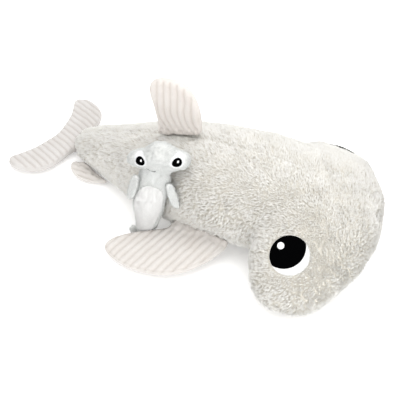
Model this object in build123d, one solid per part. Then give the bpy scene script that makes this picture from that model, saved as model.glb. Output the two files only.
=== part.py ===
"""Large stuffed hammerhead shark with a small removable calf leaning on its flank.

Row frame, millimetres: +X towards the nose, +Y the shark's left side, +Z up, floor at z = 0.
The shark lies on its belly with the tail swung towards +Y.  The calf stands at its right side.
"""
from build123d import *
import os
from math import atan2, cos, degrees, pi, radians, sin

os.makedirs("parts", exist_ok=True)

# ---------------------------------------------------------------- driving dimensions
SKIN = 4.0              # pile fabric: backing cloth plus the packed roots of the pile
FIN_SKIN = 3.0          # wide-wale fabric of the fins
CALF_SKIN = 2.0         # short-pile fabric of the calf
WALE = 13.5             # pitch of the fabric ribs on the fins
GROOVE = 1.6            # radius of the valley between two ribs
JOINT_GAP = 0.8         # clearance between sections that turn on each other
SECTION_POWER = 2.3     # superellipse power of the stuffed body
BELLY_SEAM_Z = 34.0     # height of the seam between the under panel and the side panels
FAR = 900.0             # size of the cutting solids

NECK_AXIS = (202.0, 0.0)
NECK_RADIUS = 135.0
HEAD_FROM_X = 160.0
TAIL_AXIS = (-168.0, 30.0)
TAIL_RADIUS = 103.0

# body stations: x, centre y, bottom z, half width, height
BODY = [
    (-276, 66, 28, 8, 14),
    (-264, 62, 14, 24, 40),
    (-230, 52, 6, 38, 70),
    (-160, 32, 0, 56, 112),
    (-90, 15, -3, 77, 147),
    (-15, 4, -4, 96, 172),
    (60, 0, -4, 109, 183),
    (150, 0, -4, 114, 184),
    (240, 0, -4, 111, 175),
    (300, 0, -2, 90, 142),
]

# head stations across the hammer: y, rear x, front x, bottom z, top z, forward droop
HEAD = [
    (0, 176, 394, -4, 186, 0.32),
    (60, 178, 387, -4, 180, 0.31),
    (105, 182, 374, -4, 160, 0.28),
    (140, 187, 356, -4, 132, 0.22),
    (168, 195, 340, -2, 106, 0.16),
    (191, 209, 324, 5, 79, 0.10),
    (206, 229, 303, 15, 55, 0.05),
    (214, 252, 278, 26, 38, 0.0),
]


# ---------------------------------------------------------------- helpers
def save(node, shape):
    """Write one named node as its own STEP file."""
    export_step(shape, f"parts/{node}.step")


def power_curve(angle, power):
    """Unit superellipse point at an angle."""
    c, s = cos(angle), sin(angle)
    px = (abs(c) ** (2 / power)) * (1 if c >= 0 else -1)
    pz = (abs(s) ** (2 / power)) * (1 if s >= 0 else -1)
    return px, pz


def closed_face(points):
    """Face bounded by one smooth closed curve through the points."""
    return make_face(Spline(*points, periodic=True))


def body_section(station, inset, count=16):
    """Cross-section of the body at one x, moved in by inset."""
    x, centre_y, bottom, half, height = station
    half, height, bottom = half - inset, height - 2 * inset, bottom + inset
    points = []
    for i in range(count):
        py, pz = power_curve(2 * pi * (i + 0.5) / count, SECTION_POWER)
        points.append((x, centre_y + half * py, bottom + height / 2 * (1 + pz)))
    return closed_face(points)


def head_section(station, side, inset, count=16):
    """Fore-and-aft section of the head at one y; the top slopes down towards the nose."""
    y, rear, front, bottom, top, droop = station
    y_end = HEAD[-1][0]
    y = side * y * (y_end - inset) / y_end
    rear, front, bottom, top = rear + inset, front - inset, bottom + inset, top - inset
    middle, half = (rear + front) / 2, (front - rear) / 2
    points = []
    for i in range(count):
        px, pz = power_curve(2 * pi * (i + 0.5) / count, 2.2)
        lean = 1 - droop * (px + 1) / 2
        rise = (top - bottom) / 2 * (1 + pz) * lean
        points.append((middle + half * px, y, bottom + rise))
    return closed_face(points)


def above(z):
    """Everything above a height."""
    return Pos(0, 0, z + FAR / 2) * Box(2 * FAR, 2 * FAR, FAR)


def stuffed_head(inset):
    """The hammer from one lobe tip to the other."""
    right = [head_section(s, -1, inset) for s in reversed(HEAD[1:])]
    left = [head_section(s, 1, inset) for s in HEAD]
    return loft(right + left)


def stuffed_body(inset):
    """The body from the tail end to inside the head."""
    return loft([body_section(s, inset) for s in BODY])


def whole_shark(inset):
    """Body and head together, flattened where they lie on the floor."""
    return (stuffed_body(inset) + stuffed_head(inset)) & above(max(inset, 0))


def upright(axis, radius):
    """Vertical cylinder through the whole height."""
    return Pos(axis[0], axis[1], 0) * Cylinder(radius, FAR)


def slab(x_from, x_to):
    """Everything between two x planes."""
    return Pos((x_from + x_to) / 2, 0, 0) * Box(x_to - x_from, 2 * FAR, FAR)


def left_of_centre():
    """Everything on the +Y side of the back seam, which follows the bent tail."""
    line = [(s[0], s[1]) for s in BODY]
    line = [(-FAR, line[0][1])] + line + [(FAR, 0), (FAR, FAR), (-FAR, FAR)]
    return Pos(0, 0, -FAR / 2) * extrude(make_face(Polyline(*line, close=True)), FAR)


def three_panels(prefix, shell, zone, left_side):
    """Split one length of skin into its under, left and right panels."""
    piece = shell & zone
    upper = piece & above(BELLY_SEAM_Z)
    save(f"{prefix}_skin_under", piece - above(BELLY_SEAM_Z))
    save(f"{prefix}_skin_left", upper & left_side)
    save(f"{prefix}_skin_right", upper - left_side)


def shrunk(outline, margin):
    """Outline drawn in by about margin on every side."""
    xs = [p[0] for p in outline]
    ys = [p[1] for p in outline]
    middle_x, middle_y = (min(xs) + max(xs)) / 2, (min(ys) + max(ys)) / 2
    scale_x = 1 - 2 * margin / (max(xs) - min(xs))
    scale_y = 1 - 2 * margin / (max(ys) - min(ys))
    return [(middle_x + (x - middle_x) * scale_x, middle_y + (y - middle_y) * scale_y)
            for x, y in outline]


def puffed(outline, thickness, edge):
    """Flat cushion: one closed outline in the local XY plane, rounded to both faces."""
    half = thickness / 2
    levels = [(-1, 1), (-0.8, 0.45), (-0.4, 0.08), (0, 0), (0.4, 0.08), (0.8, 0.45), (1, 1)]
    rings = [Pos(0, 0, half * height) * closed_face(shrunk(outline, edge * inset))
             for height, inset in levels]
    return loft(rings)


def wale_valleys(outline, angle, depth_z):
    """Round-bottomed valleys between the fabric ribs, on one face of a fin."""
    cx = sum(p[0] for p in outline) / len(outline)
    cy = sum(p[1] for p in outline) / len(outline)
    reach = max(((p[0] - cx) ** 2 + (p[1] - cy) ** 2) ** 0.5 for p in outline) + 10
    count = int(reach / WALE)
    rods = []
    for i in range(-count, count + 1):
        rod = Rotation(0, 90, 0) * Cylinder(GROOVE, 2 * reach)
        rods.append(Pos(cx, cy, depth_z) * Rotation(0, 0, angle) * Pos(0, i * WALE, 0) * rod)
    return rods


def sewn_fin(outline, thickness, edge, wale_angle, skin=FIN_SKIN, ribbed=True):
    """Upper panel, under panel and filling of one flat fin, in its local plane."""
    outer = puffed(outline, thickness, edge)
    core = puffed(shrunk(outline, skin + 2), thickness - 2 * skin, edge - skin + 0.5)
    skin_all = outer - core
    upper = skin_all & above(0)
    under = skin_all - above(0)
    if ribbed:
        upper -= wale_valleys(outline, wale_angle, thickness / 2)
        under -= wale_valleys(outline, wale_angle, -thickness / 2)
    return upper, under, core


def save_fin(name, sides, pieces, frame):
    """Place the three pieces of a fin and write them."""
    upper, under, core = pieces
    save(f"{name}_{sides[0]}", frame * upper)
    save(f"{name}_{sides[1]}", frame * under)
    save(f"{name}_stuffing", frame * core)


# ---------------------------------------------------------------- body, head and tail
outer = whole_shark(0)
inner = whole_shark(SKIN)
shell = outer - inner
left_side = left_of_centre()

tail_end_cut = Plane(origin=(-267, 68, 0), z_dir=(-0.988, 0.153, 0))
beyond_tail = tail_end_cut * Pos(0, 0, FAR / 2) * Box(FAR, FAR, FAR)

head_zone = slab(HEAD_FROM_X, FAR) + upright(NECK_AXIS, NECK_RADIUS - JOINT_GAP)
torso_zone = slab(TAIL_AXIS[0], HEAD_FROM_X)
torso_zone -= upright(NECK_AXIS, NECK_RADIUS)
torso_zone -= upright(TAIL_AXIS, TAIL_RADIUS)
tail_zone = slab(-FAR, TAIL_AXIS[0]) + upright(TAIL_AXIS, TAIL_RADIUS - JOINT_GAP)
tail_zone -= beyond_tail

for name, zone in (("head", head_zone), ("torso", torso_zone), ("tail", tail_zone)):
    three_panels(name, shell, zone, left_side)
    save(f"{name}_stuffing", inner & zone)

# ---------------------------------------------------------------- eyes of the shark
# the left eye was sewn on a little further forward and lower than the right one
EYE_CENTRE = {"left": (275.0, 168.5, 93.5), "right": (260.0, 155.7, 105.0)}
EYE_TILT = 43.0                      # outward tilt of the eye from straight up
EYE_RADIUS = 35.0
PUPIL_RADIUS = 36.0
PUPIL_SHIFT = (-13.5, 12.0)          # towards the tail, up the slope of the head
GLINT_RADIUS = 6.3
GLINT_SHIFT = (-19.0, 12.0)
EYE_LAYERS = (2.0, 3.4, 4.4)         # heights of the white, pupil and glint over the fabric

swollen = [stuffed_head(0)] + [stuffed_head(-h) for h in EYE_LAYERS]
for side, sign in (("left", 1), ("right", -1)):
    tilt = radians(EYE_TILT)
    eye_x, eye_y, eye_z = EYE_CENTRE[side]
    frame = Plane(
        origin=(eye_x, sign * eye_y, eye_z),
        x_dir=(1, 0, 0),
        z_dir=(0, sign * sin(tilt), cos(tilt)),
    )
    up = -sign
    white = frame * Cylinder(EYE_RADIUS, 90)
    pupil_x, pupil_y = PUPIL_SHIFT
    pupil = frame * (Pos(pupil_x, up * pupil_y, 0) * Cylinder(PUPIL_RADIUS, 90)
                     & Cylinder(EYE_RADIUS - 0.8, 90))
    glint_x, glint_y = GLINT_SHIFT
    glint = frame * Pos(glint_x, up * glint_y, 0) * Cylinder(GLINT_RADIUS, 90)
    for layer, (piece, cutter) in enumerate((("white", white), ("pupil", pupil), ("glint", glint))):
        save(f"eye_{piece}_{side}", (swollen[layer + 1] - swollen[layer]) & cutter)

# ---------------------------------------------------------------- dorsal fin
DORSAL_OUTLINE = [
    (-54, 171), (-54, 191), (-57, 211), (-61, 231), (-66, 248), (-68, 265), (-64, 280), (-51, 290),
    (-32, 294), (-12, 293), (4, 286), (17, 272), (26, 254), (32, 234), (34, 212), (34, 193),
    (25, 184), (-10, 175), (-42, 166.5),
]
dorsal = sewn_fin([(x, z) for x, z in DORSAL_OUTLINE], 22, 8.5, 92)
dorsal_frame = Plane(origin=(0, 4, 0), x_dir=(1, 0, 0), z_dir=(0, -1, 0))
save_fin("dorsal_fin", ("right_panel", "left_panel"), dorsal, dorsal_frame)

# ---------------------------------------------------------------- pectoral fins
PECTORAL_SLOPE = 9.0
PECTORAL_ROOT = (65.0, 100.0, 33.0)
# local outline: x forward, y outward from the root line
PECTORAL_OUTLINE = [
    (-57, 4), (-63, 18), (-80, 31), (-105, 47), (-130, 66), (-146, 84), (-150, 101), (-140, 113),
    (-118, 122), (-92, 127), (-62, 127), (-30, 121), (-4, 110), (18, 92), (38, 66), (52, 38),
    (59, 14), (50, 5), (0, 3), (-45, 0),
]
for side, sign in (("left", 1), ("right", -1)):
    outline = [(x, sign * y) for x, y in PECTORAL_OUTLINE]
    pieces = sewn_fin(outline, 18, 7, sign * (90 + 16))
    turn = Rotation(sign * -PECTORAL_SLOPE, 0, 0)
    root_x, root_y, root_z = PECTORAL_ROOT
    frame = Pos(root_x, sign * root_y, root_z) * Rotation(0, 0, sign * 5) * turn
    save_fin(f"pectoral_fin_{side}", ("top", "under"), pieces, frame)

# ---------------------------------------------------------------- pelvic fins on the tail
PELVIC_CENTRE = (-200.0, 43.0, 9.0)
PELVIC_CLEAR = {"left": 10.0, "right": 4.0}    # the tail bulges more on its outer side
TAIL_HEADING = -16.0
# local outline: x along the tail, y outward from its centre line
PELVIC_OUTLINE = [
    (-30, 25), (-43, 30), (-54, 37), (-55, 47), (-42, 59), (-20, 67), (4, 66), (24, 57), (40, 46),
    (40, 40), (10, 35),
]
for side, sign in (("left", 1), ("right", -1)):
    outline = [(x, sign * y) for x, y in PELVIC_OUTLINE]
    pieces = sewn_fin(outline, 14, 5, sign * -12)
    aside = Pos(0, sign * PELVIC_CLEAR[side], 0)
    frame = Pos(*PELVIC_CENTRE) * Rotation(0, 0, TAIL_HEADING) * aside
    save_fin(f"pelvic_fin_{side}", ("top", "under"), pieces, frame)

# ---------------------------------------------------------------- tail fin
CAUDAL_ORIGIN = (-338.6, 80.0, 16.0)
CAUDAL_HEADING = degrees(atan2(-0.153, 0.988))
# local half outline: x towards the body, y across
CAUDAL_HALF = [
    (-4, 0), (-9, 32), (-19, 66), (-33, 96), (-39, 113), (-30, 127), (-11, 133), (16, 127),
    (40, 112), (54, 88), (60, 60), (62, 36), (67, 18),
]
caudal_outline = CAUDAL_HALF + [(70, 0)] + [(x, -y) for x, y in reversed(CAUDAL_HALF[1:])]
caudal = sewn_fin(caudal_outline, 22, 9, -17)
save_fin("caudal_fin", ("top", "under"), caudal,
         Pos(*CAUDAL_ORIGIN) * Rotation(0, 0, CAUDAL_HEADING))

# ---------------------------------------------------------------- calf
# local frame: x across (towards the shark's nose), y towards the shark, z up along its body
CALF = Plane(origin=(-46, -118, 6), x_dir=(0.951, 0.196, -0.240), z_dir=(0.199, 0.142, 0.970))
HEAD_ROLL = -17.0
CALF_HEAD_Z = 191.0
# calf body stations: z, shift across, shift in depth, half width, half depth
CALF_BODY = [
    (0, 0, 0, 5, 5), (14, 2, 0, 12, 10), (39, 6, -4, 20, 15), (66, 3, -9, 26, 17),
    (98, 0, -13, 29, 17.5), (124, 0, -10, 28, 17.5), (148, 0, -6, 24, 17), (172, 0, -2, 20, 16),
]
# calf head stations: distance from the middle, drop, half height, half depth
CALF_HEAD = [
    (0, 0, 29, 26), (12, 0, 27, 25), (27, 2, 18, 20), (40, 3, 15, 16.5), (48, 3, 11, 12),
    (53, 3, 4, 4),
]


def calf_shape(inset):
    """Calf body and head as one stuffed form, in the calf frame."""
    body = []
    for z, across, back, half, depth in CALF_BODY:
        ring = Ellipse(half - inset, depth - inset)
        body.append(Pos(across, back, z + (inset if z == 0 else 0)) * ring)
    head = []
    for side, stations in ((-1, list(reversed(CALF_HEAD[1:]))), (1, CALF_HEAD)):
        for across, drop, half, depth in stations:
            place = side * across * (53 - inset) / 53
            ring = Plane(origin=(place, 0, -drop), x_dir=(0, 1, 0), z_dir=(1, 0, 0))
            head.append(ring * Ellipse(depth - inset, half - inset))
    head_place = Pos(0, 0, CALF_HEAD_Z) * Rotation(0, HEAD_ROLL, 0)
    return loft(body) + head_place * loft(head)


calf_outer = calf_shape(0)
calf_inner = calf_shape(CALF_SKIN)
calf_shell = calf_outer - calf_inner
behind = Pos(0, FAR / 2, 0) * Box(FAR, FAR, FAR)
save("calf_skin_back", CALF * (calf_shell & behind))
save("calf_skin_front", CALF * (calf_shell - behind))
save("calf_stuffing", CALF * calf_inner)

APPLIQUE = 1.2
calf_over = calf_shape(-APPLIQUE) - calf_outer
calf_over_eye = calf_shape(-2 * APPLIQUE) - calf_shape(-APPLIQUE)
calf_over_glint = calf_shape(-3 * APPLIQUE) - calf_shape(-2 * APPLIQUE)
face = Pos(0, -50, CALF_HEAD_Z) * Rotation(0, HEAD_ROLL, 0) * Rotation(90, 0, 0)
EYE_ACROSS = 33.5
EYE_RAISE = 3.5
for side, sign in (("left", 1), ("right", -1)):
    spot = face * Pos(sign * EYE_ACROSS, EYE_RAISE, 0)
    white = spot * Pos(0, 0, -50) * extrude(Ellipse(13, 11.2), 100)
    pupil = spot * Pos(0, 0, -50) * extrude(Ellipse(8.6, 7.2), 100)
    save(f"calf_eye_white_{side}", CALF * (calf_over & white))
    save(f"calf_eye_pupil_{side}", CALF * (calf_over_eye & pupil))
    shine = spot * Pos(2.0, 2.6, 0) * Cylinder(1.6, 100)
    save(f"calf_eye_glint_{side}", CALF * (calf_over_glint & shine))

smile = Cylinder(11, 100) - Cylinder(9.5, 100)
smile &= Pos(0, -14.5, 0) * Box(18, 20, 100)
save("calf_smile", CALF * (calf_over & face * Pos(-13, -6, 0) * Rotation(0, 0, -16) * smile))

belly = Pos(1, -50, 80) * Rotation(90, 0, 0)
belly_patch = closed_face([(-4, -62), (8, -62), (20, -30), (24, 5), (22, 42), (13, 57), (0, 61),
                           (-14, 56), (-23, 42), (-25, 5), (-17, -30)])
belly_cut = belly * Pos(0, 0, -50) * extrude(belly_patch, 100)
save("calf_belly_patch", CALF * (calf_over & belly_cut))

FLIPPER = [(-6, 0), (-8, -14), (-8, -32), (-3, -50), (3, -53), (7, -42), (8, -24), (7, -8), (4, 2),
           (-2, 4)]
FLIPPER_ROOT = {"left": (28.0, -19.0), "right": (-34.0, -22.0)}    # across, in depth
for side, sign in (("left", 1), ("right", -1)):
    flat = puffed([(sign * x, y) for x, y in FLIPPER], 7, 3)
    splay = Rotation(0, sign * -15 - 14, 0) * Rotation(90, 0, 0) * Rotation(0, sign * 20, 0)
    across, back = FLIPPER_ROOT[side]
    save(f"calf_flipper_{side}", CALF * Pos(across, back, 150) * splay * flat)

FLUKE_HALF = [(0, 16), (14, 21), (24, 22), (27, 15), (22, 6), (11, 3)]
fluke_outline = FLUKE_HALF + [(0, 2)] + [(-x, y) for x, y in reversed(FLUKE_HALF[1:])]
fluke_frame = Plane(origin=(-44, -108, 0), x_dir=(cos(radians(35)), sin(radians(35)), 0),
                    z_dir=(sin(radians(35)), -cos(radians(35)), 0))
save("calf_fluke", fluke_frame * puffed(fluke_outline, 7, 2.5) - CALF * calf_outer)
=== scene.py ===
"""Looks of a large stuffed hammerhead shark and its calf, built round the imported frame.

Lengths are metres in the row frame: +X towards the nose, +Y the shark's left, +Z up, and the
floor at z = 0.
"""
import math

import bmesh
import bpy
import numpy as np
from mathutils import Matrix, Vector
from mathutils.bvhtree import BVHTree
from mathutils.geometry import delaunay_2d_cdt
from mathutils.kdtree import KDTree


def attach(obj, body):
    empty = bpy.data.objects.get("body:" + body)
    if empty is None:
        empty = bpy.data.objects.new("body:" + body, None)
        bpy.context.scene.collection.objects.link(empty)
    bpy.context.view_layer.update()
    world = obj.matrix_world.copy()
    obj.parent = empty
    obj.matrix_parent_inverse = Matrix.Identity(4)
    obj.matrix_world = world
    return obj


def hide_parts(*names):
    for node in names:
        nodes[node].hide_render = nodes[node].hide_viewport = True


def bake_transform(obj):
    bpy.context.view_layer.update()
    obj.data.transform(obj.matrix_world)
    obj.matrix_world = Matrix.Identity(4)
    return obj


MM = 0.001

# ---------------------------------------------------------------- driving dimensions
PILE_LENGTH = 10.0 * MM
PILE_WIDTH = 1.35 * MM
PILE_DENSITY = 31e4                 # strands for each square metre
CALF_PILE_LENGTH = 2.8 * MM
CALF_PILE_WIDTH = 1.0 * MM
CALF_PILE_DENSITY = 34e4
STRAND_FLOOR = 0.7 * MM             # no strand goes lower than this
STRAND_SINK = 1.2 * MM              # how far a strand starts inside the cloth
STRAND_BOW = 0.14                   # how far its middle stands out, as a share of its length
BACKING_INSET = 3.0 * MM            # how far the backing cloth lies inside the CAD skin
BELLY_SEAM_Z = 34 * MM
SEAM_DEPTH = 2.0 * MM

# uneven filling: height, wavelength and seed of each swell
SWELLS = ((1.1 * MM, 0.095, 11), (0.4 * MM, 0.045, 12))
# soft folds at the neck and the tail: x on the middle line, lean, depth
FOLDS = ((0.150, 0.25, 0.4 * MM), (-0.118, -0.2, 0.8 * MM))
FOLD_WIDTH = 0.009
FOLD_WANDER = 0.006
BROW_ROUNDS = 70                    # smoothing rounds on top of the head
NOSE_TUCK = 6 * MM                  # how far the left half of the nose is drawn in

# middle line of the back, from the tail to the head
CENTRE_LINE = np.array([(-0.276, 0.066), (-0.230, 0.052), (-0.160, 0.032), (-0.090, 0.015),
                        (-0.015, 0.004), (0.060, 0.0), (0.400, 0.0)])

# 1 is the left eye and -1 the right eye, whose y is mirrored
EYE_CENTRE = {1: (0.275, 0.1685, 0.0935), -1: (0.260, 0.1557, 0.105)}
EYE_TILT = math.radians(43)
EYE_RADIUS = 35.8 * MM
PUPIL_RADIUS = 37.8 * MM
PUPIL_SHIFT = (-13.0 * MM, 11.0 * MM)
GLINT_RADIUS = 6.3 * MM
GLINT_SHIFT = (-19 * MM, 12 * MM)
DISC_RINGS = 14
DISC_SPOKES = 96
DISC_CROWN = 0.10                   # extra height at the middle of a disc, as a share
TURN_IN_FROM = 0.9                  # share of the radius where the rim starts to turn in
TURN_IN_WIDTH = 0.1

# ribs and rims of the fins
WALE = 13.5 * MM                    # pitch of the ribs
WALE_DEPTH = 2.8 * MM
FIN_RIM = 0.012                     # width of the rounded rim
FIN_ROUNDNESS = 2.4
RIM_SEAM_AT = 0.0042                # distance of the seam from the rim
RIM_SEAM_WIDTH = 0.0010
RIM_SEAM_DEPTH = 0.0009
PUCKER_DEPTH = 0.0016
DORSAL_THICKNESS = 0.022
PECTORAL_THICKNESS = 0.018
PELVIC_THICKNESS = 0.014
CAUDAL_THICKNESS = 0.022
PECTORAL_SWEEP = math.radians(15)
PECTORAL_SPAN = 127                 # mm, root to tip in PECTORAL_OUTLINE

# the calf's own frame
CALF_ORIGIN = (-0.046, -0.118, 0.006)
CALF_ACROSS = (0.951, 0.196, -0.240)
CALF_UP = (0.199, 0.142, 0.970)
SHOULDER_HEIGHT = 0.156
SHOULDER_REACH = 0.024
SHOULDER_GAIN = 0.24
CALF_BARE_REACH = 1.6 * MM          # pile is shortened this near to a stitched feature

TUFT_SPACING = 4.6 * MM
SWATHE_SPACING = 15 * MM
SHORTEST_PILE = 1.5 * MM
PILE_LEAN = (-0.50, 0, -0.35)       # the pile is combed back and down
EYE_MARGIN = 0.5 * MM               # how far pile grows in under the rim of an eye
EYE_FRINGE = 0.016                  # width of the parted pile round an eye
FIN_CLEARANCE = 5 * MM              # long pile is shortened this near to a fin or the calf
# places where handling has matted the pile: centre and radius
MATTED = (
    ((0.120, -0.112, 0.115), 0.034),
    ((0.362, -0.080, 0.075), 0.046),
    ((0.288, -0.190, 0.070), 0.026),
    ((0.330, 0.130, 0.080), 0.040),
    ((-0.020, 0.095, 0.110), 0.038),
)

CAMERA_AT = (0.447, -1.054, 1.112)
CAMERA_TARGET = (0.052, -0.050, 0.070)
CAMERA_LENS = 70.2
LIGHT_TARGET = (0.05, 0, 0.05)
# name, place, side length and power of each lamp
LAMPS = (
    ("overhead", (0.25, 0.25, 2.4), 2.2, 33),
    ("front_fill", (1.45, -1.9, 1.1), 1.6, 17),
)
WORLD_LIGHT = 0.97
FLOOR_GLOW = 0.24
FLOOR_SIZE = 60

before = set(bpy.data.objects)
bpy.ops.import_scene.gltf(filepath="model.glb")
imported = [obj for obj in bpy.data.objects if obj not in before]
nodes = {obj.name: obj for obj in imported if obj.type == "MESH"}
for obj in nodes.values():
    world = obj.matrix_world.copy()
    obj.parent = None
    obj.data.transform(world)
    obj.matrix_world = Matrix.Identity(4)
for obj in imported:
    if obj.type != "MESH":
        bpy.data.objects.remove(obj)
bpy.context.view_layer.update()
scene = bpy.context.scene


# ---------------------------------------------------------------- small helpers
def unit(v):
    """Rows scaled to length 1."""
    return v / np.maximum(np.linalg.norm(v, axis=-1, keepdims=True), 1e-9)


def step01(x, low, high):
    """Smooth rise from 0 at low to 1 at high."""
    t = np.clip((x - low) / (high - low), 0, 1)
    return t * t * (3 - 2 * t)


def ripple(points, wavelength, seed, waves=24):
    """Smooth random field over points, about -1 to 1, made of plane waves in random directions."""
    rng = np.random.default_rng(seed)
    ways = unit(rng.normal(size=(waves, 3))) * (2 * math.pi / wavelength)
    ways *= rng.uniform(0.6, 1.4, (waves, 1))
    phases = rng.uniform(0, 2 * math.pi, waves)
    return np.sin(points @ ways.T + phases).sum(1) / math.sqrt(waves)


def link(name, mesh):
    """New object in the scene, shaded smooth."""
    obj = bpy.data.objects.new(name, mesh)
    scene.collection.objects.link(obj)
    mesh.shade_smooth()
    return obj


def mesh_from(name, verts, faces):
    """Object from vertex rows and triangle rows."""
    verts = np.asarray(verts, np.float32)
    faces = np.asarray(faces, np.int32)
    mesh = bpy.data.meshes.new(name)
    mesh.vertices.add(len(verts))
    mesh.vertices.foreach_set("co", verts.ravel())
    mesh.loops.add(faces.size)
    mesh.loops.foreach_set("vertex_index", faces.ravel())
    mesh.polygons.add(len(faces))
    mesh.polygons.foreach_set("loop_start", np.arange(0, faces.size, 3, dtype=np.int32))
    mesh.update(calc_edges=True)
    return link(name, mesh)


def tag(obj, name, values):
    """Store one number for each vertex, for the material to read."""
    attribute = obj.data.attributes.new(name, "FLOAT", "POINT")
    attribute.data.foreach_set("value", np.asarray(values, np.float32))


def coordinates(obj, what="co"):
    """Vertex positions, or normals, as rows."""
    mesh = obj.data
    rows = np.empty(len(mesh.vertices) * 3, np.float32)
    if what == "co":
        mesh.vertices.foreach_get("co", rows)
    else:
        mesh.vertex_normals.foreach_get("vector", rows)
    return rows.reshape(-1, 3).astype(float)


def set_coordinates(obj, rows):
    """Move every vertex."""
    obj.data.vertices.foreach_set("co", np.asarray(rows, np.float32).ravel())
    obj.data.update()


def tree_of(obj):
    """Nearest-point search over one mesh."""
    bm = bmesh.new()
    bm.from_mesh(obj.data)
    tree = BVHTree.FromBMesh(bm)
    bm.free()
    return tree


def stuffed_form(name, cad_nodes, voxel, rounds):
    """One closed smooth form round copies of CAD nodes."""
    bm = bmesh.new()
    for node in cad_nodes:
        bm.from_mesh(nodes[node].data)
    mesh = bpy.data.meshes.new(name)
    bm.to_mesh(mesh)
    bm.free()
    rough = link(name + "_rough", mesh)
    remesh = rough.modifiers.new("remesh", "REMESH")
    remesh.mode = "VOXEL"
    remesh.voxel_size = voxel
    smooth = rough.modifiers.new("smooth", "SMOOTH")
    smooth.factor = 0.5
    smooth.iterations = rounds
    evaluated = rough.evaluated_get(bpy.context.evaluated_depsgraph_get())
    form = link(name, bpy.data.meshes.new_from_object(evaluated))
    bpy.data.objects.remove(rough)
    return form


# ---------------------------------------------------------------- materials
def new_material(name, rough, sheen=0.0):
    """Material with a Principled shader; returns it with its node tree and its shader."""
    material = bpy.data.materials.new(name)
    material.use_nodes = True
    tree = material.node_tree
    shader = tree.nodes["Principled BSDF"]
    shader.inputs["Roughness"].default_value = rough
    shader.inputs["Sheen Weight"].default_value = sheen
    shader.inputs["Specular IOR Level"].default_value = 0.25
    return material, tree, shader


def noise_node(tree, scale, detail=3.0):
    """Noise in object coordinates."""
    place = tree.nodes.new("ShaderNodeTexCoord")
    noise = tree.nodes.new("ShaderNodeTexNoise")
    noise.inputs["Scale"].default_value = scale
    noise.inputs["Detail"].default_value = detail
    tree.links.new(place.outputs["Object"], noise.inputs["Vector"])
    return noise.outputs["Fac"]


def ramp_node(tree, value, low, high, start=0.0, end=1.0):
    """Colour from low to high as value goes from start to end."""
    ramp = tree.nodes.new("ShaderNodeValToRGB")
    ramp.color_ramp.elements[0].position = start
    ramp.color_ramp.elements[0].color = (*low, 1)
    ramp.color_ramp.elements[1].position = end
    ramp.color_ramp.elements[1].color = (*high, 1)
    tree.links.new(value, ramp.inputs["Fac"])
    return ramp.outputs["Color"]


def multiply_node(tree, a, b):
    """Two colours multiplied."""
    mix = tree.nodes.new("ShaderNodeMix")
    mix.data_type = "RGBA"
    mix.blend_type = "MULTIPLY"
    mix.inputs["Factor"].default_value = 1.0
    tree.links.new(a, mix.inputs["A"])
    tree.links.new(b, mix.inputs["B"])
    return mix.outputs["Result"]


def attribute_node(tree, name):
    """A number stored on the vertices."""
    node = tree.nodes.new("ShaderNodeAttribute")
    node.attribute_name = name
    return node.outputs["Fac"]


def bump_node(tree, shader, height, distance, strength):
    """Surface relief."""
    bump = tree.nodes.new("ShaderNodeBump")
    bump.inputs["Distance"].default_value = distance
    bump.inputs["Strength"].default_value = strength
    tree.links.new(height, bump.inputs["Height"])
    tree.links.new(bump.outputs["Normal"], shader.inputs["Normal"])


def pile_material(name, root, tip, patch):
    """Pile: darker at the root, paler at the tip, in slightly uneven patches; the darker root is
    painted shade deep in the pile.

    A piece without strands has no "along" values, and takes the root colour.
    """
    material, tree, shader = new_material(name, 0.85, 0.15)
    # painted shade: each strand darkens towards its root
    along = ramp_node(tree, attribute_node(tree, "along"), root, tip, 0.0, 0.75)
    uneven = ramp_node(tree, noise_node(tree, 38.0, 4.0), patch, (1, 1, 1), 0.35, 0.6)
    colour = multiply_node(tree, along, uneven)
    tree.links.new(colour, shader.inputs["Base Color"])
    return material


def plush_material(name, colour, crease_shade):
    """Dense short plush: fine nap, worn patches, and painted shade in its creases."""
    material, tree, shader = new_material(name, 0.9, 0.25)
    grain = 1400.0
    dark = tuple(0.88 * c for c in colour)
    nap = ramp_node(tree, noise_node(tree, grain, 2.0), dark, colour, 0.35, 0.65)
    worn = ramp_node(tree, noise_node(tree, 24.0, 3.0), (0.95, 0.94, 0.93), (1, 1, 1), 0.35, 0.65)
    # painted shade: the colour is drawn towards the crease colour where the vertex value is high
    shade = ramp_node(tree, attribute_node(tree, "crease_shade"), (1, 1, 1), crease_shade)
    colour = multiply_node(tree, multiply_node(tree, nap, worn), shade)
    tree.links.new(colour, shader.inputs["Base Color"])
    bump_node(tree, shader, noise_node(tree, grain * 0.7, 2.0), 0.0006, 0.7)
    return material


def thread_material(name, colour, rough, sheen=0.1, gloss=0.25):
    """Satin or felt: parallel threads with a little unevenness."""
    material, tree, shader = new_material(name, rough, sheen)
    shader.inputs["Specular IOR Level"].default_value = gloss
    place = tree.nodes.new("ShaderNodeTexCoord")
    wave = tree.nodes.new("ShaderNodeTexWave")
    wave.inputs["Scale"].default_value = 900.0
    wave.inputs["Distortion"].default_value = 1.5
    tree.links.new(place.outputs["Object"], wave.inputs["Vector"])
    dark = tuple(0.9 * c for c in colour)
    tint = ramp_node(tree, noise_node(tree, 260.0), dark, colour, 0.3, 0.7)
    tree.links.new(tint, shader.inputs["Base Color"])
    bump_node(tree, shader, wave.outputs["Fac"], 0.0002, 0.5)
    return material


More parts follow.
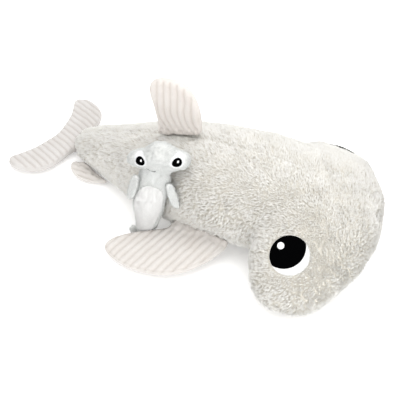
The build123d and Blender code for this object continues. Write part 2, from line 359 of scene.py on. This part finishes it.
MATERIALS = {
    "pile_cloth": pile_material("pile", (0.76, 0.72, 0.62), (0.985, 0.975, 0.94),
                                (0.98, 0.975, 0.96)),
    "backing": plush_material("pile_backing", (0.86, 0.83, 0.76), (0.85, 0.84, 0.82)),
    "fin_cloth": plush_material("ribbed_plush", (0.75, 0.712, 0.68), (0.86, 0.83, 0.81)),
    # darker copies of the fin cloth: painted shade for the flat-lying fins and the tail fin
    "fin_cloth_flat_shaded": plush_material("ribbed_plush_flat_shaded", (0.71, 0.682, 0.655), (0.84, 0.82, 0.80)),
    "fin_cloth_tail_shaded": plush_material("ribbed_plush_tail_shaded", (0.65, 0.63, 0.615), (0.80, 0.77, 0.75)),
    "eye_white": thread_material("eye_felt", (0.90, 0.90, 0.89), 0.75),
    "eye_black": thread_material("eye_satin", (0.0012, 0.0012, 0.0014), 0.5, sheen=0.0, gloss=0.0),
    "eye_glint": thread_material("eye_glint", (0.92, 0.92, 0.92), 0.6),
    "calf_cloth": pile_material("calf_pile", (0.75, 0.765, 0.755), (0.82, 0.84, 0.825),
                                (0.98, 0.98, 0.98)),
    "calf_backing": plush_material("calf_backing", (0.74, 0.755, 0.745), (0.8, 0.8, 0.8)),
    "calf_belly_cloth": pile_material("calf_belly_pile", (0.84, 0.84, 0.83), (0.90, 0.90, 0.89),
                                      (0.97, 0.97, 0.97)),
    "calf_eye_white": thread_material("calf_eye_ring", (0.80, 0.81, 0.82), 0.7),
    "calf_thread": thread_material("calf_thread", (0.16, 0.16, 0.17), 0.6),
}


def dress(obj, slot, material=None):
    """Give a piece its finish."""
    obj.data.materials.clear()
    obj.data.materials.append(MATERIALS[material or slot])


# ---------------------------------------------------------------- pile
def scatter(obj, density, seed):
    """Random points on a mesh with their surface normals."""
    rng = np.random.default_rng(seed)
    mesh = obj.data
    mesh.calc_loop_triangles()
    tris = np.empty(len(mesh.loop_triangles) * 3, np.int32)
    mesh.loop_triangles.foreach_get("vertices", tris)
    tris = tris.reshape(-1, 3)
    co, normals = coordinates(obj), coordinates(obj, "normal")
    a, b, c = (co[tris[:, i]] for i in range(3))
    area = np.linalg.norm(np.cross(b - a, c - a), axis=1) / 2
    count = int(area.sum() * density)
    pick = rng.choice(len(tris), count, p=area / area.sum())
    u, v = rng.random(count), rng.random(count)
    flip = u + v > 1
    u[flip], v[flip] = 1 - u[flip], 1 - v[flip]
    weight = np.stack([1 - u - v, u, v], 1)[:, :, None]
    return (co[tris[pick]] * weight).sum(1), unit((normals[tris[pick]] * weight).sum(1))


def clump(roots, tips, spacing, pull, seed):
    """Draw the tips of the long pile together in tufts about one spacing apart."""
    rng = np.random.default_rng(seed)
    strands_each = spacing * spacing * PILE_DENSITY
    count = max(8, int(len(roots) * min(1, 1 / strands_each)))
    centres = rng.choice(len(roots), count, replace=False)
    tree = KDTree(count)
    for i, index in enumerate(centres):
        tree.insert(roots[index], i)
    tree.balance()
    nearest = centres[[tree.find(p)[1] for p in roots]]
    return tips + (tips[nearest] - tips) * pull[:, None]


def strands(name, roots, normals, tips, width, seed):
    """One tapered, bent, three-sided strand from each root to its tip."""
    rng = np.random.default_rng(seed)
    count = len(roots)
    span = tips - roots
    length = np.linalg.norm(span, axis=1, keepdims=True)
    middle = roots + span * 0.5 + normals * length * STRAND_BOW
    side = unit(np.cross(span, rng.normal(size=(count, 3))))
    across = unit(np.cross(span, side))
    half = width * rng.uniform(0.35, 0.65, (count, 1))
    verts = np.empty((count, 7, 3))
    for i in range(3):
        angle = 2 * math.pi * i / 3
        ring = side * math.cos(angle) + across * math.sin(angle)
        verts[:, i] = roots - normals * STRAND_SINK + ring * half
        verts[:, 3 + i] = middle + ring * half * 0.8
    verts[:, 6] = tips
    verts[:, :, 2] = np.maximum(verts[:, :, 2], STRAND_FLOOR)
    one = np.array([(0, 1, 4), (0, 4, 3), (1, 2, 5), (1, 5, 4), (2, 0, 3), (2, 3, 5),
                    (3, 4, 6), (4, 5, 6), (5, 3, 6)])
    faces = (np.arange(count)[:, None, None] * 7 + one[None]).reshape(-1, 3)
    obj = mesh_from(name, verts.reshape(-1, 3), faces)
    # soft shading: mostly the cloth's own normal, a little of the strand's
    lean = unit(normals + unit(span) * 0.35)
    soft = unit(lean[:, None, :] + 0.22 * unit(verts - middle[:, None, :]))
    obj.data.normals_split_custom_set_from_vertices(soft.reshape(-1, 3))
    tag(obj, "along", np.tile([0, 0, 0, 0.6, 0.6, 0.6, 1.0], count))
    return obj


def shorten_near(points, normals, length, trees, reach):
    """Shorten strands that would reach into another piece."""
    for tree in trees:
        for i, p in enumerate(points + normals * length[:, None] * 0.5):
            hit = tree.find_nearest(p, reach)
            if hit[0] is not None:
                inside = (Vector(p) - hit[0]).dot(hit[1]) < 0
                length[i] *= 0.0 if inside else max(0.15, hit[3] / reach)
    return length


# ---------------------------------------------------------------- the stuffed body
SKIN_NODES = [f"{zone}_skin_{panel}" for zone in ("head", "torso", "tail")
              for panel in ("left", "right", "under")]
STUFFING_NODES = ["head_stuffing", "torso_stuffing", "tail_stuffing"]
body = stuffed_form("body", SKIN_NODES + STUFFING_NODES, 4.5 * MM, 8)


def relax(obj, weight, rounds):
    """Even out a mesh where weight is above 0."""
    mesh = obj.data
    edges = np.empty(len(mesh.edges) * 2, np.int32)
    mesh.edges.foreach_get("vertices", edges)
    ends = np.concatenate([edges[0::2], edges[1::2]])
    others = np.concatenate([edges[1::2], edges[0::2]])
    co = coordinates(obj)
    count = np.maximum(np.bincount(ends, minlength=len(co)), 1)
    for _ in range(rounds):
        around = np.stack([np.bincount(ends, co[others, i], len(co)) / count for i in range(3)], 1)
        co += (around - co) * (0.5 * weight)[:, None]
    set_coordinates(obj, co)


def middle_line(points):
    """Y of the middle of the back beside each point."""
    return np.interp(points[:, 0], CENTRE_LINE[:, 0], CENTRE_LINE[:, 1])


def seam_depth(points):
    """How near each point is to the back or belly seam: 0 away from both; faint on the head."""
    across = points[:, 1] - middle_line(points)
    back = np.exp(-(across / (4.5 * MM)) ** 2) * (points[:, 2] > 0.05)
    back *= 1 - 0.7 * step01(points[:, 0], 0.19, 0.26)
    belly = np.exp(-((points[:, 2] - BELLY_SEAM_Z) / (5 * MM)) ** 2)
    return np.clip(back * 0.7 + belly * 0.6, 0, 1)


def sculpt_body():
    """Even brow, uneven filling, seams drawn in, and soft folds at the neck and the tail."""
    co = coordinates(body)
    brow = step01(co[:, 0], 0.17, 0.23) * (1 - step01(co[:, 0], 0.33, 0.37))
    brow *= step01(co[:, 2], 0.09, 0.13)
    relax(body, brow, BROW_ROUNDS)
    co, normals = coordinates(body), coordinates(body, "normal")
    lift = sum(height * ripple(co, wavelength, seed) for height, wavelength, seed in SWELLS)
    lift -= BACKING_INSET
    lift -= SEAM_DEPTH * seam_depth(co)
    for x, lean, depth in FOLDS:
        along = co[:, 0] + lean * np.abs(co[:, 1]) - x + FOLD_WANDER * ripple(co, 0.1, 13)
        lift -= depth * np.exp(-(along / FOLD_WIDTH) ** 2) * step01(co[:, 2], 0.03, 0.09)
    tucked = step01(co[:, 0], 0.32, 0.38) * step01(co[:, 1], -0.08, 0.04)
    lift -= NOSE_TUCK * tucked * (co[:, 2] > 0.03)
    off_floor = step01(co[:, 2], 0.004, 0.03)
    moved = co + normals * (lift * off_floor)[:, None]
    moved[:, 2] = np.maximum(moved[:, 2], 0)
    set_coordinates(body, moved)


sculpt_body()


def eye_axes(sign):
    """Centre, forward, up-slope and outward directions of one eye."""
    x, y, z = EYE_CENTRE[sign]
    out = Vector((0, sign * math.sin(EYE_TILT), math.cos(EYE_TILT)))
    up = Vector((0, -sign * math.cos(EYE_TILT), math.sin(EYE_TILT)))
    return Vector((x, sign * y, z)), Vector((1, 0, 0)), up, out


# ---------------------------------------------------------------- fins
def smooth_loop(points, step):
    """Closed Catmull-Rom curve through the points, in even steps."""
    points = np.array(points, float) * MM
    count = len(points)
    fine = []
    for i in range(count):
        p0, p1, p2, p3 = (points[(i + k - 1) % count] for k in range(4))
        for t in np.linspace(0, 1, 24, endpoint=False):
            fine.append(0.5 * (2 * p1 + (p2 - p0) * t + (2 * p0 - 5 * p1 + 4 * p2 - p3) * t ** 2
                               + (3 * p1 - p0 - 3 * p2 + p3) * t ** 3))
    fine = np.array(fine)
    gaps = np.linalg.norm(np.roll(fine, -1, 0) - fine, axis=1)
    travelled = np.concatenate([[0], np.cumsum(gaps)])
    closed = np.vstack([fine, fine[:1]])
    wanted = np.linspace(0, travelled[-1], int(travelled[-1] / step), endpoint=False)
    return np.stack([np.interp(wanted, travelled, closed[:, i]) for i in range(2)], 1)


def inside_loop(points, loop):
    """Which points lie inside a closed loop."""
    x, y = points[:, 0:1], points[:, 1:2]
    x1, y1 = loop[:, 0], loop[:, 1]
    x2, y2 = np.roll(x1, -1), np.roll(y1, -1)
    crosses = (y1 > y) != (y2 > y)
    with np.errstate(divide="ignore", invalid="ignore"):
        at = (x2 - x1) * (y - y1) / (y2 - y1) + x1
    return (crosses & (x < at)).sum(1) % 2 == 1


def ribbed_fin(name, outline, thickness, rib, root, place, seed, step=1.9 * MM, rim_seam=0.0,
               root_lift=0.0):
    """Stuffed fin: two faces with rounded ribs, a seam near the rim and puckers at the root.

    outline is in millimetres. rib gives the distance across the ribs, and root the distance from
    the sewn root. rim_seam is the strength of the seam, and root_lift raises the root.
    """
    loop = smooth_loop(outline, step)
    low, high = loop.min(0), loop.max(0)
    xs = np.arange(low[0], high[0], step)
    ys = np.arange(low[1], high[1], step * 0.87)
    grid = np.array([(x + (j % 2) * step / 2, y) for j, y in enumerate(ys) for x in xs])
    grid = grid[inside_loop(grid, loop)]
    away = np.min(np.linalg.norm(grid[:, None] - loop[None], axis=2), axis=1)
    grid, away = grid[away > 0.6 * step], away[away > 0.6 * step]
    points = np.vstack([loop, grid])
    rim = len(loop)
    edges = [(i, (i + 1) % rim) for i in range(rim)]
    result = delaunay_2d_cdt([Vector(p) for p in points], edges, [], 1, 1e-7)
    flat = np.array([tuple(p) for p in result[0]])
    faces = np.array(result[2])
    away = np.min(np.linalg.norm(flat[:, None] - loop[None], axis=2), axis=1)
    on_rim = away < 1e-6

    rim_share = 1 - np.clip(away / FIN_RIM, 0, 1)
    bulge = thickness / 2 * (1 - rim_share ** FIN_ROUNDNESS) ** (1 / FIN_ROUNDNESS)
    bulge *= 0.86 + 0.14 * step01(away, 0.010, 0.035)
    level = np.c_[flat, np.zeros(len(flat))]
    u = rib(flat[:, 0], flat[:, 1])
    u = u + 0.0006 * ripple(level, 0.03, seed)
    ridge = np.abs(np.cos(np.pi * u / WALE)) ** 0.9
    fade = step01(away, 0.0002, 0.0040)
    near_root = 1 - step01(root(flat[:, 0], flat[:, 1]), 0.004, 0.030)
    valley = (1 - ridge) * fade * (1 - 0.55 * near_root)
    seam = rim_seam * np.exp(-((away - RIM_SEAM_AT) / RIM_SEAM_WIDTH) ** 2) * (1 - near_root)
    pucker = ripple(level, 0.013, seed + 1) * near_root
    relief = -WALE_DEPTH * valley - RIM_SEAM_DEPTH * seam + PUCKER_DEPTH * pucker * fade
    top = np.maximum(bulge + relief, 0.15 * MM)
    # painted shade: darker in the rib valleys, along the rim seam and near the sewn root
    crease_shade = np.clip(valley ** 1.6 + 0.8 * seam + 0.35 * near_root, 0, 1)

    lift = root_lift * (1 - step01(root(flat[:, 0], flat[:, 1]), -0.004, 0.022))
    upper = np.c_[flat, np.where(on_rim, 0, top) + lift]
    under = np.c_[flat, -np.where(on_rim, 0, top) + lift]
    lower_index = np.arange(len(flat)) + len(flat)
    lower_index[on_rim] = np.arange(len(flat))[on_rim]
    under_faces = lower_index[faces][:, ::-1]
    verts = np.vstack([upper, under])
    matrix = np.array(place)
    verts = verts @ matrix[:3, :3].T + matrix[:3, 3]
    verts[:, 2] = np.maximum(verts[:, 2], 0.3 * MM)
    obj = mesh_from(name, verts, np.vstack([faces, under_faces]))
    bm = bmesh.new()
    bm.from_mesh(obj.data)
    loose = [v for v in bm.verts if not v.link_faces]
    keep = [v.index for v in bm.verts if v.link_faces]
    bmesh.ops.delete(bm, geom=loose, context="VERTS")
    bmesh.ops.recalc_face_normals(bm, faces=bm.faces)
    bm.to_mesh(obj.data)
    bm.free()
    tag(obj, "crease_shade", np.r_[crease_shade, crease_shade][keep])
    obj.data.shade_smooth()
    return obj


def turned(x, y, z, heading=0.0, slope=0.0):
    """Placement: at a point in millimetres, turned about Z, then sloped about its own X."""
    shift = Matrix.Translation((x * MM, y * MM, z * MM))
    turn = Matrix.Rotation(math.radians(heading), 4, "Z")
    tilt = Matrix.Rotation(math.radians(slope), 4, "X")
    return shift @ turn @ tilt


def finish_fin(obj, name, body_name, sides, nap="fin_cloth"):
    """Dress a fin, let it stand for its CAD panels, and let it ride.

    The nap looks darker where it lies away from the light, so each kind of fin takes its own copy
    of the same cloth, those of the flat fins and the tail fin darker: painted shade.
    """
    dress(obj, "fin_cloth", nap)
    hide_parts(f"{name}_{sides[0]}", f"{name}_{sides[1]}", f"{name}_stuffing")
    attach(obj, body_name)
    return obj


DORSAL_OUTLINE = [
    (-54, 171), (-54, 191), (-57, 211), (-61, 231), (-66, 248), (-68, 265), (-64, 280), (-51, 290),
    (-32, 294), (-12, 293), (4, 286), (17, 272), (26, 254), (32, 234), (34, 212), (34, 193),
    (25, 184), (-10, 175), (-42, 166.5),
]


def dorsal_rib(x, z):
    """The ribs stand upright and swing forwards near the root."""
    low = np.clip(0.232 - z, 0, None)
    return x - low * low * 9.0 + 0.004


dorsal = ribbed_fin(
    "dorsal_fin", DORSAL_OUTLINE, DORSAL_THICKNESS, dorsal_rib,
    lambda x, z: z - 0.180 - 0.16 * x,
    Matrix(((1, 0, 0, 0), (0, 0, -1, 0.004), (0, 1, 0, 0), (0, 0, 0, 1))), 31)
finish_fin(dorsal, "dorsal_fin", "dorsal_fin", ("left_panel", "right_panel"))

PECTORAL_OUTLINE = [
    (-57, 4), (-63, 18), (-80, 31), (-105, 47), (-130, 66), (-146, 84), (-150, 101), (-140, 113),
    (-118, 122), (-92, 127), (-62, 127), (-30, 121), (-4, 110), (18, 92), (38, 66), (52, 38),
    (59, 14), (50, 5), (0, 3), (-45, 0),
]
PELVIC_OUTLINE = [
    (-30, 25), (-43, 30), (-54, 37), (-55, 47), (-42, 59), (-20, 67), (4, 66), (24, 57), (40, 46),
    (40, 40), (10, 35),
]
PELVIC_CLEAR = {"left": 10.0, "right": 4.0}     # mm further out than the drawn outline


def pectoral_outline(sign):
    """The outline for one side, with its root set a little further forward and inward."""
    points = []
    for x, y in PECTORAL_OUTLINE:
        rootward = 1 - y / PECTORAL_SPAN
        points.append((x + 9 * rootward, sign * (0.96 * y - 7 * rootward)))
    return points


def pectoral_rib(sign):
    """Distance across the ribs for one side: swept back, and more so towards the tip."""
    def rib(x, y):
        outward = sign * y
        straight = x * math.cos(PECTORAL_SWEEP) + outward * math.sin(PECTORAL_SWEEP)
        return straight + 0.35 * outward ** 2 - 0.0075
    return rib


fins = [dorsal]
for side, sign in (("left", 1), ("right", -1)):
    place = turned(65, sign * 100, 33, sign * 5, -sign * 9)
    fin = ribbed_fin(
        f"pectoral_fin_{side}", pectoral_outline(sign), PECTORAL_THICKNESS, pectoral_rib(sign),
        lambda x, y, s=sign: s * y + 0.006, place, 41, rim_seam=0.8, root_lift=9 * MM)
    fins.append(finish_fin(fin, f"pectoral_fin_{side}", f"pectoral_fin_{side}", ("top", "under"),
                           "fin_cloth_flat_shaded"))
    place = turned(-200, 43, 9, -16) @ turned(0, sign * PELVIC_CLEAR[side], 0)
    fin = ribbed_fin(
        f"pelvic_fin_{side}", [(x, sign * y) for x, y in PELVIC_OUTLINE], PELVIC_THICKNESS,
        lambda x, y, s=sign: s * y * 0.97 + x * 0.2 + 0.002,
        lambda x, y, s=sign: s * y - 0.030, place, 51, step=1.6 * MM)
    fins.append(finish_fin(fin, f"pelvic_fin_{side}", f"pelvic_fin_{side}", ("top", "under"),
                           "fin_cloth_flat_shaded"))

CAUDAL_HALF = [
    (1, 0), (-4, 32), (-13, 66), (-28, 96), (-37, 113), (-30, 127), (-11, 133), (16, 127),
    (40, 112), (54, 88), (60, 60), (62, 36), (67, 18),
]
caudal = ribbed_fin(
    "caudal_fin", CAUDAL_HALF + [(70, 0)] + [(x, -y) for x, y in reversed(CAUDAL_HALF[1:])],
    CAUDAL_THICKNESS,
    lambda x, y: (y + 0.31 * x) * 0.955,
    lambda x, y: 0.072 - x + 0.5 * np.clip(np.abs(y) - 0.02, 0, None),
    turned(-338.6, 80, 16, -8.8), 61)
fins.append(finish_fin(caudal, "caudal_fin", "caudal_fin", ("top", "under"), "fin_cloth_tail_shaded"))


# ---------------------------------------------------------------- eyes
def applique(name, sign, centre, outline, height, edge, tree):
    """Cloth disc that follows the head, with a turned-in rim.

    centre is in the eye's plane, and outline gives the radius in each direction. The last ring of
    vertices goes under the backing cloth, so that the rim never stands open.
    """
    origin, forward, up, out = eye_axes(sign)
    verts, faces = [], []
    shares = [k / DISC_RINGS for k in range(DISC_RINGS + 1)] + [1.0]
    for k, share in enumerate(shares):
        rise = height * (1 + DISC_CROWN * (1 - share ** 2))
        if share > TURN_IN_FROM:
            rise -= edge * ((share - TURN_IN_FROM) / TURN_IN_WIDTH) ** 2
        if k == DISC_RINGS + 1:
            rise = -2.5 * MM
        for i in range(DISC_SPOKES):
            angle = 2 * math.pi * i / DISC_SPOKES
            reach = outline(angle) * share
            x = centre[0] + reach * math.cos(angle)
            y = centre[1] + reach * math.sin(angle)
            start = origin + forward * x + up * y + out * 0.06
            hit, normal, _, _ = tree.ray_cast(start, -out)
            verts.append(hit + (normal * 0.4 + out * 0.6).normalized() * rise)
    for k in range(DISC_RINGS + 1):
        for i in range(DISC_SPOKES):
            a = k * DISC_SPOKES + i
            b = k * DISC_SPOKES + (i + 1) % DISC_SPOKES
            faces += [(a, b, b + DISC_SPOKES), (a, b + DISC_SPOKES, a + DISC_SPOKES)]
    obj = mesh_from(name, verts, faces)
    bm = bmesh.new()
    bm.from_mesh(obj.data)
    bmesh.ops.remove_doubles(bm, verts=bm.verts, dist=1e-6)
    bmesh.ops.recalc_face_normals(bm, faces=bm.faces)
    bm.to_mesh(obj.data)
    bm.free()
    obj.data.shade_smooth()
    return obj


def pupil_outline(angle):
    """Radius of the black disc: a circle set towards the back and top, cut by the white disc."""
    along = PUPIL_SHIFT[0] * math.cos(angle) + PUPIL_SHIFT[1] * math.sin(angle)
    square = PUPIL_SHIFT[0] ** 2 + PUPIL_SHIFT[1] ** 2
    reach = along + math.sqrt(along ** 2 - square + PUPIL_RADIUS ** 2)
    return min(reach, EYE_RADIUS - 1.0 * MM)


body_tree = tree_of(body)
for side, sign in (("left", 1), ("right", -1)):
    layers = (
        ("white", "eye_white", (0, 0), lambda angle: EYE_RADIUS, 3.6 * MM, 1.6 * MM),
        ("pupil", "eye_black", (0, 0), pupil_outline, 4.5 * MM, 0.9 * MM),
        ("glint", "eye_glint", GLINT_SHIFT, lambda angle: GLINT_RADIUS, 5.2 * MM, 0.5 * MM),
    )
    for part, slot, centre, outline, height, edge in layers:
        disc = applique(f"eye_{part}_{side}_cloth", sign, centre, outline, height, edge, body_tree)
        dress(disc, slot)
        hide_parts(f"eye_{part}_{side}")
        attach(disc, "head")

# ---------------------------------------------------------------- calf
CALF_FORMS = (
    ("calf_body", ("calf_skin_front", "calf_skin_back", "calf_stuffing"), "calf", 2.4 * MM, 5),
    ("calf_tail", ("calf_fluke",), "calf", 2.0 * MM, 3),
    ("calf_arm_left", ("calf_flipper_left",), "calf_flipper_left", 2.0 * MM, 3),
    ("calf_arm_right", ("calf_flipper_right",), "calf_flipper_right", 2.0 * MM, 3),
)
bare_trees = [tree_of(nodes[n]) for n in nodes
              if n.startswith("calf_eye") or n in ("calf_smile", "calf_belly_patch")]
calf_trees = []


def calf_pile(name, form, keep_off, slot, body_name, seed):
    """Short pile over one form, left out where stitched features lie."""
    roots, normals = scatter(form, CALF_PILE_DENSITY, seed)
    length = np.full(len(roots), CALF_PILE_LENGTH)
    length = shorten_near(roots, normals, length, keep_off, CALF_BARE_REACH)
    rng = np.random.default_rng(seed + 1)
    wander = np.stack([ripple(roots, 0.012, seed + k) for k in range(3)], 1)
    droop = np.array((0, 0, -0.35))
    way = unit(normals + 0.15 * wander + droop + rng.normal(0, 0.13, roots.shape))
    good = (length > 0.8 * MM) & (roots[:, 2] > 1.5 * MM)
    tips = roots + way * (length * rng.uniform(0.75, 1.15, len(roots)))[:, None]
    pile = strands(name, roots[good], normals[good], tips[good], CALF_PILE_WIDTH, seed + 2)
    dress(pile, slot)
    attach(pile, body_name)


def widen_shoulders(form):
    """Fill out the calf below its head, more towards its right side."""
    across, up = np.array(CALF_ACROSS), np.array(CALF_UP)
    co = coordinates(form)
    local = co - CALF_ORIGIN
    height = local @ up
    near = np.exp(-((height - SHOULDER_HEIGHT) / SHOULDER_REACH) ** 2)
    out = (local @ across - 3 * MM) * SHOULDER_GAIN * near
    set_coordinates(form, co + out[:, None] * across)


for name, stands_for, body_name, voxel, rounds in CALF_FORMS:
    form = stuffed_form(name, stands_for, voxel, rounds)
    if name == "calf_body":
        widen_shoulders(form)
    dress(form, "calf_cloth", "calf_backing")
    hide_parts(*stands_for)
    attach(form, body_name)
    calf_trees.append(tree_of(form))
    calf_pile(name + "_pile", form, bare_trees, "calf_cloth", body_name, 71 + len(calf_trees))

patch = nodes["calf_belly_patch"]
dress(patch, "calf_belly_cloth")
calf_pile("calf_belly_pile", patch, [], "calf_belly_cloth", "calf", 81)
for side in ("left", "right"):
    dress(nodes[f"calf_eye_white_{side}"], "calf_eye_white")
    dress(nodes[f"calf_eye_pupil_{side}"], "eye_black")
    dress(nodes[f"calf_eye_glint_{side}"], "eye_glint")
dress(nodes["calf_smile"], "calf_thread")


# ---------------------------------------------------------------- long pile of the shark
def around_eyes(roots, normals):
    """Which roots an eye covers, how near each root is to an eye, and the way from its centre."""
    covered = np.zeros(len(roots), bool)
    near = []
    for sign in (1, -1):
        origin, _, _, out = (np.array(v) for v in eye_axes(sign))
        flat = roots - origin
        flat = flat - (flat @ out)[:, None] * out
        away = np.linalg.norm(flat, axis=1)
        facing = (normals @ out > 0.2) & (roots[:, 1] * sign > 0)
        covered |= facing & (away < EYE_RADIUS - EYE_MARGIN)
        close = facing * (1 - step01(away, EYE_RADIUS, EYE_RADIUS + EYE_FRINGE))
        near.append((close, unit(flat)))
    return covered, near


def comb_pile(roots, normals, steep, push):
    """Way each strand leans along the cloth: back and down, with swirls, frizz and scatter."""
    swirl = np.stack([ripple(roots, 0.055, 20 + k) for k in range(3)], 1)
    frizz = np.stack([ripple(roots, 0.014, 30 + k) for k in range(3)], 1)
    scatter_each = np.random.default_rng(8).normal(0, 1, roots.shape)
    comb = np.tile(PILE_LEAN, (len(roots), 1))
    # on the front of the head the pile is combed up instead of down
    comb[:, 2] += 0.6 * step01(normals[:, 0], 0.1, 0.6)
    comb += swirl * (0.08 + 0.14 * steep)[:, None] + frizz * (0.04 + 0.18 * steep)[:, None]
    comb += scatter_each * (0.09 + 0.23 * steep)[:, None] + push
    return comb - (comb * normals).sum(1, keepdims=True) * normals


def worn_places(roots):
    """How far handling has matted the pile at each root: 1 in the middle of a matted place."""
    worn = np.zeros(len(roots))
    for centre, radius in MATTED:
        away = np.linalg.norm(roots - centre, axis=1)
        worn = np.maximum(worn, 1 - step01(away, 0.5 * radius, 1.4 * radius))
    return worn


def grow_body_pile():
    """Roots, normals and tips of the long pile over the whole shark."""
    roots, normals = scatter(body, PILE_DENSITY, 5)
    rng = np.random.default_rng(6)
    # most of the pile under the belly is pressed flat, so only a quarter of it is made
    resting = (normals[:, 2] < -0.75) & (roots[:, 2] < 3 * MM)
    open_air = ~(resting & (rng.random(len(roots)) > 0.25))
    # uneven length, shorter in the seams and near the floor
    length = PILE_LENGTH * rng.uniform(0.78, 1.12, len(roots))
    length *= 1 + 0.08 * ripple(roots, 0.04, 7)
    length *= 1 - 0.45 * seam_depth(roots)
    length *= 0.45 + 0.55 * step01(roots[:, 2], 0.002, 0.020)
    push = np.zeros_like(roots)
    covered, near_eyes = around_eyes(roots, normals)
    for close, outward in near_eyes:
        length *= 1 - 0.12 * close
        push += outward * (close * 0.05)[:, None]
    open_air &= ~covered
    roots, normals, length, push = (rows[open_air] for rows in (roots, normals, length, push))
    keep_off = [tree_of(fin) for fin in fins] + calf_trees
    length = shorten_near(roots, normals, length, keep_off, FIN_CLEARANCE)
    kept = length > SHORTEST_PILE
    roots, normals, length, push = (rows[kept] for rows in (roots, normals, length, push))

    # pile on top lies smooth, and pile on the flanks and the front is rougher and more tufted
    steep = 1 - step01(normals[:, 2], 0.35, 0.9)
    comb = comb_pile(roots, normals, steep, push)
    tips = roots + unit(normals + comb) * length[:, None]
    tips = clump(roots, tips, SWATHE_SPACING, 0.04 + 0.10 * steep, 9)
    matted = step01(ripple(roots, 0.11, 15), -0.8, 1.0)
    pull = np.random.default_rng(10).uniform(0.05, 0.2, len(roots))
    pull = pull + steep * (0.25 + 0.25 * matted) + 0.35 * worn_places(roots)
    tips = clump(roots, tips, TUFT_SPACING, pull, 14)
    tips[:, 2] = np.maximum(tips[:, 2], 0.8 * MM)
    return roots, normals, tips


# zone names with the x where each begins and ends
ZONES = (("tail", -0.5, -0.13), ("loin", -0.13, 0.0), ("back", 0.0, 0.12), ("neck", 0.12, 0.215),
         ("brow", 0.215, 0.295), ("nose", 0.295, 0.5))
roots, normals, tips = grow_body_pile()
on_left = roots[:, 1] >= middle_line(roots)
for number, (zone, x_from, x_to) in enumerate(ZONES):
    for side, on_side in (("left", on_left), ("right", ~on_left)):
        mine = (roots[:, 0] >= x_from) & (roots[:, 0] < x_to) & on_side
        pile = strands(f"pile_{zone}_{side}", roots[mine], normals[mine], tips[mine],
                       PILE_WIDTH, 100 + number)
        dress(pile, "pile_cloth")
        if x_to <= 0:
            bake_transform(pile)
        else:
            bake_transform(pile)


def half_skin(name, keep_front):
    """The backing cloth on one side of the middle of the torso."""
    bm = bmesh.new()
    bm.from_mesh(body.data)
    geometry = bm.verts[:] + bm.edges[:] + bm.faces[:]
    bmesh.ops.bisect_plane(bm, geom=geometry, plane_co=(0, 0, 0), plane_no=(1, 0, 0),
                           clear_inner=keep_front, clear_outer=not keep_front)
    mesh = bpy.data.meshes.new(name)
    bm.to_mesh(mesh)
    bm.free()
    skin = link(name, mesh)
    # painted shade along the back and belly seams, where the cloth is drawn in
    tag(skin, "crease_shade", seam_depth(coordinates(skin)))
    dress(skin, "pile_cloth", "backing")
    return skin


front = half_skin("skin_front", True)
rear = half_skin("skin_rear", False)
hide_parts(*[n for n in SKIN_NODES + STUFFING_NODES if not n.startswith("tail")])
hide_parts(*[n for n in SKIN_NODES + STUFFING_NODES if not n.startswith("head")])
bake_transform(front)
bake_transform(rear)
bpy.data.objects.remove(body)

# ---------------------------------------------------------------- floor, lights and camera
bpy.ops.mesh.primitive_plane_add(size=FLOOR_SIZE, location=(0, 0, -0.2 * MM))
floor = bpy.context.object
floor.name = "floor"
paper, _, paper_shader = new_material("floor_paper", 0.9)
paper_shader.inputs["Base Color"].default_value = (0.95, 0.95, 0.95, 1)
paper_shader.inputs["Specular IOR Level"].default_value = 0.0
paper_shader.inputs["Emission Color"].default_value = (1, 1, 1, 1)
paper_shader.inputs["Emission Strength"].default_value = FLOOR_GLOW
floor.data.materials.append(paper)


def soft_light(name, at, size, power):
    """Large square light aimed at the shark."""
    lamp = bpy.data.lights.new(name, "AREA")
    lamp.size = size
    lamp.energy = power
    obj = bpy.data.objects.new(name, lamp)
    obj.location = at
    obj.rotation_euler = (Vector(LIGHT_TARGET) - Vector(at)).to_track_quat("-Z", "Y").to_euler()
    scene.collection.objects.link(obj)


for lamp in LAMPS:
    soft_light(*lamp)
world = bpy.data.worlds.new("studio")
scene.world = world
world.use_nodes = True
world.node_tree.nodes["Background"].inputs["Color"].default_value = (1, 0.995, 0.985, 1)
world.node_tree.nodes["Background"].inputs["Strength"].default_value = WORLD_LIGHT
scene.view_settings.view_transform = "Standard"

camera_data = bpy.data.cameras.new("camera")
camera_data.lens = CAMERA_LENS
camera_data.sensor_width = 36
camera = bpy.data.objects.new("camera", camera_data)
camera.location = CAMERA_AT
look = Vector(CAMERA_TARGET) - Vector(CAMERA_AT)
camera.rotation_euler = look.to_track_quat("-Z", "Y").to_euler()
scene.collection.objects.link(camera)
scene.camera = camera
